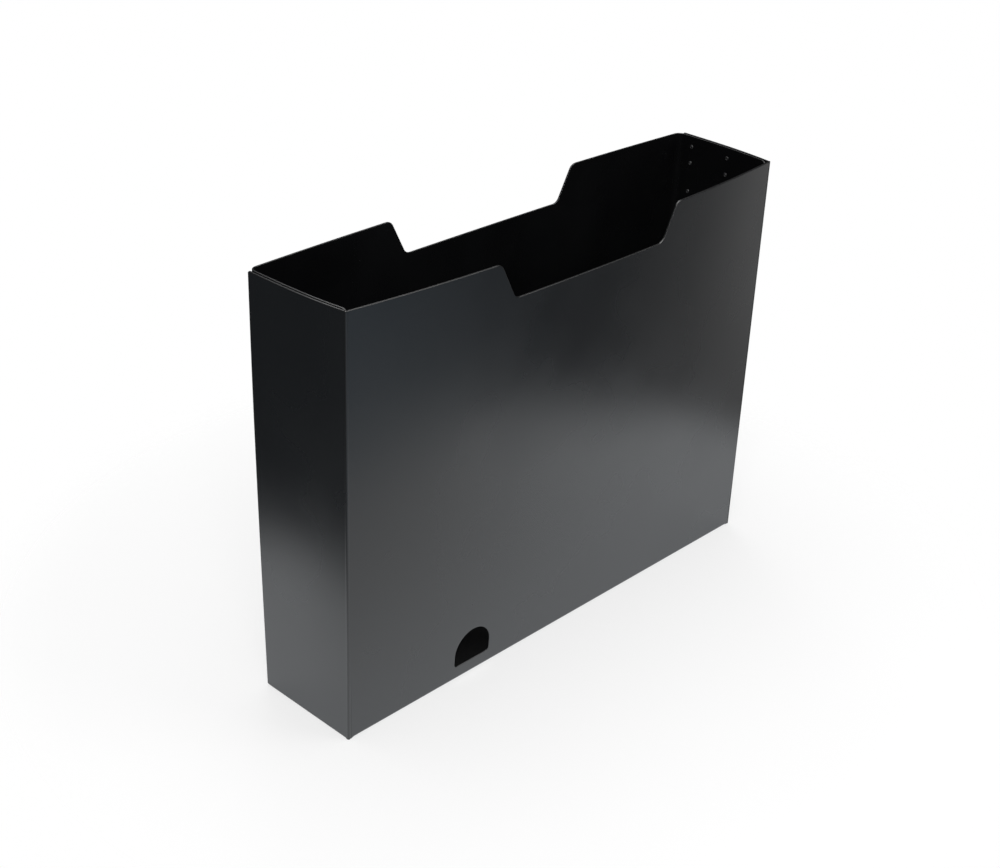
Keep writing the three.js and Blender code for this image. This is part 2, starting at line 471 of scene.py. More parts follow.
def delivered(piece: bpy.types.Object) -> None:
    """Hands a finished piece to the frame: it rides on the body, and its count of faces goes to the log."""
    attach(piece, CAD_BODY)
    LOG.info("%s: %d faces", piece.name, len(piece.data.polygons))


@dataclass
class NodeBench:
    """Adds and wires nodes in one node tree."""

    tree: bpy.types.NodeTree

    def node(
        self, kind: str, inputs: dict[str | int, object] | None = None, **settings: object
    ) -> bpy.types.Node:
        """Adds a node.

        Args:
            kind: the node's type.
            inputs: what goes into its inputs, by their names or numbers.
            **settings: its settings.

        Returns:
            The node.
        """
        node = self.tree.nodes.new(kind)
        for name, value in settings.items():
            setattr(node, name, value)
        for name, value in (inputs or {}).items():
            self.feed(node.inputs[name], value)
        return node

    def feed(self, socket: Socket, value: object) -> None:
        """Wires a socket to another one, or sets it to a plain value."""
        if isinstance(value, Socket):
            self.tree.links.new(value, socket)
        else:
            socket.default_value = value

    def maths(self, operation: str, *values: object) -> Socket:
        """Adds a Math node and returns its result."""
        return self.node("ShaderNodeMath", dict(enumerate(values)), operation=operation).outputs[0]

    def mapped(self, value: Socket, source: Pair, target: Pair) -> Socket:
        """Adds a smooth Map Range node.

        Args:
            value: the socket to map.
            source: the range that it comes from.
            target: the range that it goes to.

        Returns:
            The mapped socket.
        """
        limits = dict(zip(("From Min", "From Max", "To Min", "To Max"), (*source, *target)))
        node = self.node("ShaderNodeMapRange", {"Value": value, **limits}, interpolation_type="SMOOTHSTEP")
        return node.outputs["Result"]

    def mixed(self, factor: object, first: object, second: object) -> Socket:
        """Adds a Mix node for two colours.

        Args:
            factor: how much of the second colour there is.
            first: the first colour.
            second: the second colour.

        Returns:
            The mixed colour.
        """
        node = self.node("ShaderNodeMix", {"Factor": factor}, data_type="RGBA")
        colours = [socket for socket in node.inputs if socket.type == "RGBA"]
        for socket, colour in zip(colours, (first, second)):
            self.feed(socket, colour)
        return next(socket for socket in node.outputs if socket.type == "RGBA")

    def blended(self, factor: object, first: object, second: object) -> Socket:
        """Adds a Mix Shader node and returns its result."""
        return self.node("ShaderNodeMixShader", {0: factor, 1: first, 2: second}).outputs[0]

    def speckle(
        self, kind: str, place: Socket, size: float, inputs: dict[str, object] | None = None
    ) -> bpy.types.Node:
        """Adds a Noise or Voronoi texture whose pattern has about the size, in millimetres."""
        return self.node(kind, {"Vector": place, "Scale": 1 / (size * MM), **(inputs or {})})


def new_material(name: str) -> tuple[bpy.types.Material, NodeBench, bpy.types.Node]:
    """Makes a material with a Principled shader.

    Args:
        name: the material's name.

    Returns:
        The material, the bench for its nodes, and its shader.
    """
    material = bpy.data.materials.new(name)
    material.use_nodes = True
    return material, NodeBench(material.node_tree), material.node_tree.nodes["Principled BSDF"]


@dataclass(frozen=True)
class SatinSheet:
    """Black extruded polypropylene: satin, with a fine grain, faint clouding and a little dust.

    Attributes:
        name: the material's name.
        dark: the darkest of its colour.
        light: the lightest of its colour.
        roughness: the range of its roughness.
        specular: the shader's specular level.
        index: its index of refraction.
        grain: the size of its grain, in millimetres.
        grain_depth: how deep the grain is, in millimetres.
        grain_detail: how finely the grain is broken up.
        cloud: the size of its clouds, in millimetres.
        cloud_detail: how finely the clouds are broken up.
        rough_clouds: the part of the clouds' range over which the roughness changes.
        colour_clouds: the part of it over which the colour changes.
        dusty: whether specks of dust lie on it.
        dust_spacing: how far apart the places for specks are, in millimetres.
        dust_radius: a speck's radius, as a share of that spacing.
        dust_share: the share of those places that stay clean.
        dust_colour: the colour of the specks.
        dust_roughness: their roughness.
    """

    name: str
    dark: Colour = (0.0026, 0.0027, 0.0031, 1.0)
    light: Colour = (0.0044, 0.0046, 0.0052, 1.0)
    roughness: Pair = (0.24, 0.31)
    specular: float = 0.95
    index: float = 1.5
    grain: float = 0.5
    grain_depth: float = 0.004
    grain_detail: float = 2.0
    cloud: float = 70.0
    cloud_detail: float = 3.0
    rough_clouds: Pair = (0.3, 0.7)
    colour_clouds: Pair = (0.25, 0.75)
    dusty: bool = True
    dust_spacing: float = 15.0
    dust_radius: float = 0.03
    dust_share: float = 0.94
    dust_colour: Colour = (0.16, 0.16, 0.155, 1.0)
    dust_roughness: float = 0.8

    def material(self) -> bpy.types.Material:
        """Builds the material."""
        material, bench, shader = new_material(self.name)
        place = bench.node("ShaderNodeTexCoord").outputs["Object"]
        kind = "ShaderNodeTexNoise"
        clouds = bench.speckle(kind, place, self.cloud, {"Detail": self.cloud_detail}).outputs["Fac"]
        rough = bench.mapped(clouds, self.rough_clouds, self.roughness)
        colour = bench.mixed(bench.mapped(clouds, self.colour_clouds, (0.0, 1.0)), self.dark, self.light)
        if self.dusty:
            colour, rough = self._dusted(bench, place, colour, rough)
        grain = bench.speckle(kind, place, self.grain, {"Detail": self.grain_detail}).outputs["Fac"]
        relief = {"Strength": 1.0, "Distance": self.grain_depth * MM, "Height": grain}
        finish = {
            "Base Color": colour,
            "Roughness": rough,
            "IOR": self.index,
            "Specular IOR Level": self.specular,
            "Normal": bench.node("ShaderNodeBump", relief).outputs["Normal"],
        }
        for name, value in finish.items():
            bench.feed(shader.inputs[name], value)
        return material

    def _dusted(
        self,
        bench: NodeBench,
        place: Socket,
        colour: Socket,
        rough: Socket,
    ) -> tuple[Socket, Socket]:
        """Lays sparse specks of dust over the finish.

        Args:
            bench: the bench of the material's nodes.
            place: the place on the piece.
            colour: the clean colour.
            rough: the clean roughness.

        Returns:
            The dusted colour and roughness.
        """
        cells = bench.speckle("ShaderNodeTexVoronoi", place, self.dust_spacing)
        near = bench.maths("LESS_THAN", cells.outputs["Distance"], self.dust_radius)
        parts = bench.node("ShaderNodeSeparateColor", {0: cells.outputs["Color"]})
        chosen = bench.maths("GREATER_THAN", parts.outputs[0], self.dust_share)
        speck = bench.maths("MULTIPLY", near, chosen)
        dusted = bench.mixed(speck, colour, self.dust_colour)
        matt = bench.maths("MAXIMUM", rough, bench.maths("MULTIPLY", speck, self.dust_roughness))
        return dusted, matt


@dataclass(frozen=True)
class PaleFloor:
    """A pale floor that keeps the box's shadow and fades into the white background.

    Attributes:
        colour: its colour in the light.
        glow: how much of it shines by itself, to the camera and in reflections.
        reflected: the tint of that light in reflections.
        solid_reach: up to where it is solid, in millimetres.
        clear_reach: from where it is clear.
        round_margin: how much further it reaches on its round side than on its straight one.
        straight_way: the way from the middle to the straight side.
        shade: how dim it is in reflections at its shaded place.
        shade_place: the middle of that place.
        shade_radii: where the shade begins to fade and where it ends.
    """

    colour: Colour = (0.93, 0.93, 0.93, 1.0)
    glow: float = 0.6
    reflected: Colour = (0.95, 1.0, 1.05, 1.0)
    solid_reach: float = 241.0
    clear_reach: float = 311.0
    round_margin: float = 16.0
    straight_way: Triple = (0.669, -0.743, 0.0)
    shade: float = 0.5
    shade_place: Triple = (-0.05, -0.25, 0.0)
    shade_radii: Pair = (30.0, 250.0)

    def material(self) -> bpy.types.Material:
        """Builds the floor's material."""
        material, bench, shader = new_material("pale_floor")
        material.node_tree.nodes.remove(shader)
        matt = bench.node("ShaderNodeBsdfDiffuse", {"Color": self.colour}).outputs[0]
        path = bench.node("ShaderNodeLightPath").outputs
        place = bench.node("ShaderNodeTexCoord").outputs["Object"]
        aside = bench.node("ShaderNodeVectorMath", {0: place, 1: self.shade_place}, operation="DISTANCE")
        near, far = (radius * MM for radius in self.shade_radii)
        shade = bench.mapped(aside.outputs["Value"], (near, far), (self.shade, 1.0))
        light = {
            "Strength": bench.maths("MAXIMUM", path["Is Camera Ray"], shade),
            "Color": bench.mixed(path["Is Glossy Ray"], WHITE, self.reflected),
        }
        white = bench.node("ShaderNodeEmission", light).outputs[0]
        seen = bench.maths("MAXIMUM", path["Is Camera Ray"], path["Is Glossy Ray"])
        lit = bench.blended(bench.maths("MULTIPLY", seen, self.glow), matt, white)
        distance = bench.node("ShaderNodeVectorMath", {0: place}, operation="LENGTH")
        across = bench.node("ShaderNodeVectorMath", {0: place, 1: self.straight_way}, operation="DOT_PRODUCT")
        around = bench.maths("SUBTRACT", distance.outputs["Value"], self.round_margin * MM)
        reach = bench.maths("MAXIMUM", around, across.outputs["Value"])
        fade = bench.mapped(reach, (self.solid_reach * MM, self.clear_reach * MM), (0.0, 1.0))
        clear = bench.node("ShaderNodeBsdfTransparent").outputs[0]
        output = material.node_tree.nodes["Material Output"]
        bench.feed(output.inputs["Surface"], bench.blended(fade, lit, clear))
        return material


@dataclass(frozen=True)
class CornerCrease:
    """The crisp, pressed crease between the front wall and an end's outer flap.

    Attributes:
        crown: how far the fold's middle stands up, which makes it tighter.
        crown_width: how wide the crown is.
        groove: how deep the pressed line beside the fold is, on the front wall.
        groove_place: how far that line is from the fold's middle.
        groove_width: how wide the line is.
        full_height: up to where the line is pressed in full.
        end_height: where it has run out.
    """

    crown: float = 0.24
    crown_width: float = 0.62
    groove: float = 0.2
    groove_place: float = 1.35
    groove_width: float = 0.3
    full_height: float = 14.0
    end_height: float = 42.0

    def relief(self, distance: float, z: float) -> float:
        """Gives the height of the face over a plain fold.

        Args:
            distance: along the sheet from the fold's middle, onto the front wall.
            z: the height above the foot.

        Returns:
            The height in millimetres.
        """
        crown = self.crown * math.exp(-((distance / self.crown_width) ** 2))
        groove = self.groove * math.exp(-(((distance - self.groove_place) / self.groove_width) ** 2))
        return crown - groove * (1 - eased(z, self.full_height, self.end_height))


@dataclass(frozen=True)
class MeshSteps:
    """The largest steps of the sheet's mesh in each zone, in millimetres.

    A reach or a margin is how far fine steps go on. The hole's loops are shares of the way from its
    block's border to its edge. A flap's corner has its number of steps per millimetre of radius.
    """

    wall: float = 3.0
    hole: float = 1.4
    hole_foot: float = 0.6
    hole_loops: tuple[float, ...] = (0.0, 0.3, 0.55, 0.78, 0.93, 1.0)
    notch: float = 0.65
    notch_margin: float = 1.0
    crease: float = 0.15
    crease_reach: float = 2.4
    beside_crease: float = 1.1
    beside_back_fold: float = 0.55
    flap: float = 4.0
    flap_fold: float = 0.35
    flap_fold_reach: float = 3.0
    corner_per_mm: float = 3.0
    upright: float = 7.7
    near_rim: float = 3.0
    rim: float = 1.0
    rim_reach: float = 3.0
    back_foot: float = 2.7
    bottom: float = 2.4
    tab: float = 5.0
    tab_corner: float = 0.8
    tab_run: float = 1.3
    tab_rise: float = 2.6


@dataclass
class FoldedSheet:
    """The one die-cut sheet: front wrap, back wrap, bottom and end tabs."""

    sizes: SheetSizes = field(default_factory=SheetSizes)
    notch: Notch = field(default_factory=Notch)
    finger_hole: FingerHole = field(default_factory=FingerHole)
    crease: CornerCrease = field(default_factory=CornerCrease)
    steps: MeshSteps = field(default_factory=MeshSteps)
    bottom_reach: float = 152.0
    curl_end: float = 155.0
    rim_zone: float = 190.0
    foot_zone: float = 12.0
    arc_steps: int = 4
    crease_steps: int = 6
    back_fold_steps: int = 10
    edge_radius: float = 0.24
    edge_segments: int = 2
    rim_slope: float = 0.12
    edge_angle: float = math.radians(50)

    def wave(self, x: float, y: float, z: float) -> float:
        """Gives the sheet's slight waviness at a place, from 0 to 1."""
        reach = self.sizes.wave_length
        return 0.5 + 0.5 * noise.noise(Vector((x, y, z)) / reach, noise_basis="PERLIN_ORIGINAL")

    def point(self, station: Station, level: float, tuck: float = 0.0, depth: float = 0.0) -> Vector:
        """Places a point of a standing sheet.

        Args:
            station: the upright line that it is on.
            level: its height before the rim and the foot are cut.
            tuck: how far the foot's arc turns in here.
            depth: how far below the outside it lies.

        Returns:
            The point in millimetres.
        """
        sizes = self.sizes
        z = level
        if level > self.rim_zone:
            z -= station.rim_drop * (level - self.rim_zone) / (sizes.height - self.rim_zone)
        if level < self.foot_zone:
            z += station.foot_lift * (1 - level / self.foot_zone)
        rise = sizes.rise(z)
        x, y = station.place
        out = station.push * rise + self.crease.relief(station.from_fold, z) - station.curl * tuck - depth
        out -= station.wave * rise * self.wave(x, y, z)
        return Vector((x + station.facing[0] * out + station.lean * rise, y + station.facing[1] * out, z))

    def front_station(self, x: float) -> Station:
        """Describes the front wall at a place along it."""
        sizes = self.sizes
        half = sizes.front_straight
        beyond = half - abs(x) + sizes.crease_radius * math.pi / 4
        return Station(
            place=(x, -sizes.half_depth),
            facing=(0.0, -1.0),
            push=sizes.front_bulge * sizes.bulge(x, half),
            from_fold=beyond,
            curl=1 - eased(abs(x), self.curl_end, half),
            rim_drop=self.notch.drop(x),
            wave=sizes.wave * sizes.bulge(x, half),
        )

    def back_station(self, x: float) -> Station:
        """Describes the back wall at a place along it."""
        sizes = self.sizes
        half = sizes.back_straight
        return Station(
            place=(x, sizes.half_depth),
            facing=(0.0, 1.0),
            push=sizes.back_bulge * sizes.bulge(x, half),
            lean=sizes.back_lean * x / half,
            curl=1.0,
            rim_drop=self.notch.drop(x),
            wave=sizes.wave * sizes.bulge(x, half),
        )

    def flap_station(self, layer: Layer, end: End, y: float) -> Station:
        """Describes an end's layer at a place across it.

        Args:
            layer: the outer or the inner layer.
            end: the end of the box.
            y: the place across the end.

        Returns:
            The station.
        """
        sizes = self.sizes
        if layer is Layer.OUTER:
            fold, edge = sizes.outer_flap_span
            corner = rounding(edge - y, sizes.outer_flap_corner)
            beyond = -(y - fold) - sizes.crease_radius * math.pi / 4
            return Station(
                place=(end.value * sizes.half_length, y),
                facing=(end.value, 0.0),
                push=sizes.flap_push(y),
                from_fold=beyond,
                rim_drop=corner,
                foot_lift=sizes.flap_lift * eased(y, fold, fold + sizes.flap_lift_reach) + corner,
                wave=sizes.end_wave,
            )
        edge, fold = sizes.inner_flap_span
        return Station(
            place=(end.value * sizes.inner_layer_face, y),
            facing=(end.value, 0.0),
            push=sizes.flap_push(y),
            rim_drop=rounding(y - edge, sizes.inner_flap_corner),
            foot_lift=sizes.flap_lift,
            wave=sizes.end_wave,
        )

    def _fold_turns(self, steps: int) -> list[float]:
        """Gives the angles of a standing fold's inner stations, from its flap to the long wall."""
        return [math.pi / 2 * i / steps for i in range(1, steps)]

    def _crease_stations(self, end: End) -> list[Station]:
        """Describes the front crease of an end, from its flap to the front wall."""
        sizes = self.sizes
        radius = sizes.crease_radius
        centre = (end.value * sizes.front_straight, -sizes.half_depth + radius)
        stations = []
        for turn in self._fold_turns(self.crease_steps):
            facing = (end.value * math.cos(turn), -math.sin(turn))
            place = (centre[0] + radius * facing[0], centre[1] + radius * facing[1])
            stations.append(Station(place, facing, from_fold=radius * (turn - math.pi / 4)))
        return stations

    def _back_fold_stations(self, end: End) -> list[Station]:
        """Describes the soft fold of an end's back corner, from its flap to the back wall."""
        sizes = self.sizes
        radius = sizes.back_fold_radius
        centre = (end.value * sizes.back_straight, sizes.half_depth - radius)
        stations = []
        for turn in self._fold_turns(self.back_fold_steps):
            share = turn / (math.pi / 2)
            facing = (end.value * math.cos(turn), math.sin(turn))
            place = (centre[0] + radius * facing[0], centre[1] + radius * facing[1])
            stations.append(
                Station(
                    place,
                    facing,
                    lean=end.value * sizes.back_lean,
                    curl=eased(share, 0.0, 1.0),
                    foot_lift=sizes.flap_lift * (1 - eased(share, 0.0, 1.0)),
                    wave=sizes.end_wave * (1 - share),
                )
            )
        return stations

    def _wall_places(self) -> list[float]:
        """Gives the places along both long walls between the bottom's ends, fine where they are cut."""
        steps = self.steps
        left, right = self._hole_block_x()
        shoulder = self.notch.half_reach + steps.notch_margin
        return graded(
            -self.bottom_reach,
            (left, steps.wall),
            (-shoulder, steps.hole),
            (right, steps.notch),
            (-right, steps.wall),
            (shoulder, steps.notch),
            (self.bottom_reach, steps.wall),
        )

    def _hole_block_x(self) -> Pair:
        """Gives the X of the finger hole's block of cells, whose right side is in the notch's floor."""
        centre = self.finger_hole.centre(self.sizes)[0]
        half = self.finger_hole.width / 2 + self.finger_hole.block_margin
        return centre - half, centre + half

    def _foot_rows(self) -> list[Pair]:
        """Gives the rows of the foot's arc as level and tuck, up to just below its top."""
        radius = self.sizes.crease_radius
        rows = []
        for i in range(self.arc_steps):
            turn = math.pi / 2 * (1 - i / self.arc_steps)
            rows.append((radius * (1 - math.sin(turn)), radius * (1 - math.cos(turn))))
        return rows

    def _rows(self, *foot_zones: Pair) -> list[Pair]:
        """Gives all rows of a standing sheet as level and tuck.

        Args:
            foot_zones: the zones between the foot's arc and the plain part.

        Returns:
            The rows, from the foot up.
        """
        steps = self.steps
        height = self.sizes.height
        rim_zones = (
            (self.rim_zone, steps.upright),
            (height - steps.rim_reach, steps.near_rim),
            (height, steps.rim),
        )
        levels = graded(self.sizes.crease_radius, *foot_zones, *rim_zones)
        return self._foot_rows() + [(level, 0.0) for level in levels]

    def _columns(self, stations: Sequence[Station], rows: Sequence[Pair]) -> list[list[Vector]]:
        """Places every point of a standing sheet."""
        return [[self.point(station, level, tuck) for level, tuck in rows] for station in stations]

    def _flap_places(self, start: float, end: float, corner: float) -> list[float]:
        """Gives the places across a flap, from its rounded free edge to its fold.

        Args:
            start: the free edge.
            end: the fold.
            corner: the radius of the free edge's corners.

        Returns:
            The places, close together at the corner.
        """
        steps = self.steps
        way = math.copysign(1.0, end - start)
        count = round(corner * steps.corner_per_mm)
        turns = [math.pi / 2 * i / count for i in range(count)]
        places = [start + way * corner * (1 - math.cos(turn)) for turn in turns]
        zones = (end - way * steps.flap_fold_reach, steps.flap), (end, steps.flap_fold)
        return places + graded(start + way * corner, *zones)

    def _front_wrap(self, sketch: MeshSketch) -> None:
        """Adds the front wall with its two flaps, open at the finger hole, and the hole's surround."""
        sizes, steps = self.sizes, self.steps
        half = sizes.front_straight
        fold, edge = sizes.outer_flap_span
        low, high = self.finger_hole.block_foot, self.finger_hole.block_top
        flap = self._flap_places(edge, fold, sizes.outer_flap_corner)
        zones = (steps.crease_reach - half, steps.crease), (-self.bottom_reach, steps.beside_crease)
        near_fold = graded(-half, *zones)[:-1]
        wall = near_fold + self._wall_places() + [-x for x in reversed(near_fold)]
        rows = self._rows((low, steps.hole_foot), (high, steps.hole))
        stations = [self.flap_station(Layer.OUTER, End.LEFT, y) for y in flap]
        stations += self._crease_stations(End.LEFT)
        first = len(stations)
        stations += [self.front_station(x) for x in wall]
        stations += reversed(self._crease_stations(End.RIGHT))
        stations += [self.flap_station(Layer.OUTER, End.RIGHT, y) for y in reversed(flap)]
        left, right = self._hole_block_x()
        across = [i + first for i, x in enumerate(wall) if left - SLACK <= x <= right + SLACK]
        upward = [j for j, (level, _) in enumerate(rows) if low - SLACK <= level <= high + SLACK]
        sketch.grid(
            self._columns(stations, rows),
            lambda i, j: across[0] <= i < across[-1] and upward[0] <= j < upward[-1],
        )
        self._hole_surround(sketch, [wall[i - first] for i in across], [rows[j][0] for j in upward])

    def _hole_surround(self, sketch: MeshSketch, across: Sequence[float], upward: Sequence[float]) -> None:
        """Adds the faces between the block's border and the finger hole's edge.

        Args:
            sketch: where the faces go.
            across: the X of the border's points.
            upward: the Z of the border's points.
        """
        border = [(x, upward[0]) for x in across[:-1]]
        border += [(across[-1], z) for z in upward[:-1]]
        border += [(x, upward[-1]) for x in reversed(across[1:])]
        border += [(across[0], z) for z in reversed(upward[1:])]
        centre = self.finger_hole.centre(self.sizes)
        angles, edge_x, edge_z = self.finger_hole.outline(self.sizes)
        turns = [math.atan2(z - centre[1], x - centre[0]) for x, z in border]
        hole = list(zip(*(np.interp(turns, angles, edge, period=2 * math.pi) for edge in (edge_x, edge_z))))
        loops = []
        for share in self.steps.hole_loops:
            loop = []
            for (x, z), (hole_x, hole_z) in zip(border, hole):
                station = self.front_station(x + (hole_x - x) * share)
                loop.append(self.point(station, z + (hole_z - z) * share))
            loops.append(loop)
        sketch.rings(loops)

    def _back_wrap(self, sketch: MeshSketch) -> None:
        """Adds the back wall with its two flaps."""
        sizes = self.sizes
        edge, fold = sizes.inner_flap_span
        flap = self._flap_places(edge, fold, sizes.inner_flap_corner)
        near_fold = graded(-sizes.back_straight, (-self.bottom_reach, self.steps.beside_back_fold))[:-1]
        wall = near_fold + self._wall_places() + [-x for x in reversed(near_fold)]
        stations = [self.flap_station(Layer.INNER, End.RIGHT, y) for y in flap]
        stations += self._back_fold_stations(End.RIGHT)
        stations += [self.back_station(x) for x in reversed(wall)]
        stations += reversed(self._back_fold_stations(End.LEFT))
        stations += [self.flap_station(Layer.INNER, End.LEFT, y) for y in reversed(flap)]
        sketch.grid(self._columns(stations, self._rows((self.foot_zone, self.steps.back_foot))))

    def _tab_places(self) -> list[float]:
        """Gives the places across an end tab."""
        steps = self.steps
        half = self.sizes.half_depth - self.sizes.tab_setback
        corner = half - self.sizes.tab_corner
        return graded(-half, (-corner, steps.tab_corner), (corner, steps.tab), (half, steps.tab_corner))

    def _bottom(self, sketch: MeshSketch) -> None:
        """Adds the bottom between the feet of the two long walls."""
        half = self.sizes.half_depth - self.sizes.crease_radius
        tab = self._tab_places()
        step = self.steps.bottom
        across = graded(-half, (tab[0], step))[:-1] + tab + graded(tab[-1], (half, step))[1:]
        columns = [[Vector((x, y, 0.0)) for y in reversed(across)] for x in self._wall_places()]
        sketch.grid(columns)

    def _end_tab(self, sketch: MeshSketch, end: End) -> None:
        """Adds the tab that turns up from the bottom inside an end."""
        sizes = self.sizes
        radius = sizes.crease_radius
        run, rise = self.steps.tab_run, self.steps.tab_rise
        path = [(x, 0.0) for x in graded(self.bottom_reach, (sizes.tab_face - radius, run))]
        for i in range(1, self.arc_steps + 1):
            turn = math.pi / 2 * i / self.arc_steps
            path.append((sizes.tab_face - radius * (1 - math.sin(turn)), radius * (1 - math.cos(turn))))
        path += [(sizes.tab_face, z) for z in graded(radius, (sizes.tab_height, rise))[1:]]
        places = self._tab_places()
        half = places[-1]
        if end is End.RIGHT:
            places = list(reversed(places))
        columns = []
        for x, z in path:
            share = max(0.0, (z - radius) / (sizes.tab_height - radius))
            columns.append(
                [
                    Vector((end.value * x, y, z - share * rounding(half - abs(y), sizes.tab_corner)))
                    for y in places
                ]
            )
        sketch.grid(columns)

    def _slope_rim(self, mesh: bpy.types.Mesh, outside: int) -> None:
        """Lowers the outer edge of the die-cut rim, which slopes a little to the outside.

        Args:
            mesh: the sheet with its thickness.
            outside: how many of its first points are on the outside.
        """
        cut = {
            number
            for polygon in mesh.polygons
            if polygon.material_index == 1
            for number in polygon.vertices
            if number < outside
        }
        for number in cut:
            place = mesh.vertices[number].co
            if place.z > self.rim_zone * MM:
                place.z -= self.rim_slope * MM

    def build(self, sheet: bpy.types.Material, cut_edge: bpy.types.Material) -> bpy.types.Object:
        """Makes the sheet, gives it its thickness and softens its cut edges.

        Args:
            sheet: the finish of its faces.
            cut_edge: the finish of its die-cut edges.

        Returns:
            The finished piece.
        """
        sketch = MeshSketch()
        self._front_wrap(sketch)
        self._back_wrap(sketch)
        self._bottom(sketch)
        for end in End:
            self._end_tab(sketch, end)
        piece = sketch.build("folded_sheet")
        for material in (sheet, cut_edge):
            piece.data.materials.append(material)
        outside = len(piece.data.vertices)
        wall = piece.modifiers.new("sheet_thickness", "SOLIDIFY")
        wall.thickness = self.sizes.thickness * MM
        wall.offset = -1.0
        wall.use_even_offset = True
        wall.material_offset_rim = 1
        made_plain(piece)
        self._slope_rim(piece.data, outside)
        soft = piece.modifiers.new("softened_edges", "BEVEL")
        soft.limit_method = "ANGLE"
        soft.angle_limit = self.edge_angle
        soft.width = self.edge_radius * MM
        soft.segments = self.edge_segments
        soft.use_clamp_overlap = False
        piece.modifiers.new("even_shading", "WEIGHTED_NORMAL")
        made_plain(piece)
        for vertex in piece.data.vertices:
            vertex.co.z = min(max(vertex.co.z, CAD_BOX[0][2]), CAD_BOX[1][2])
        return piece


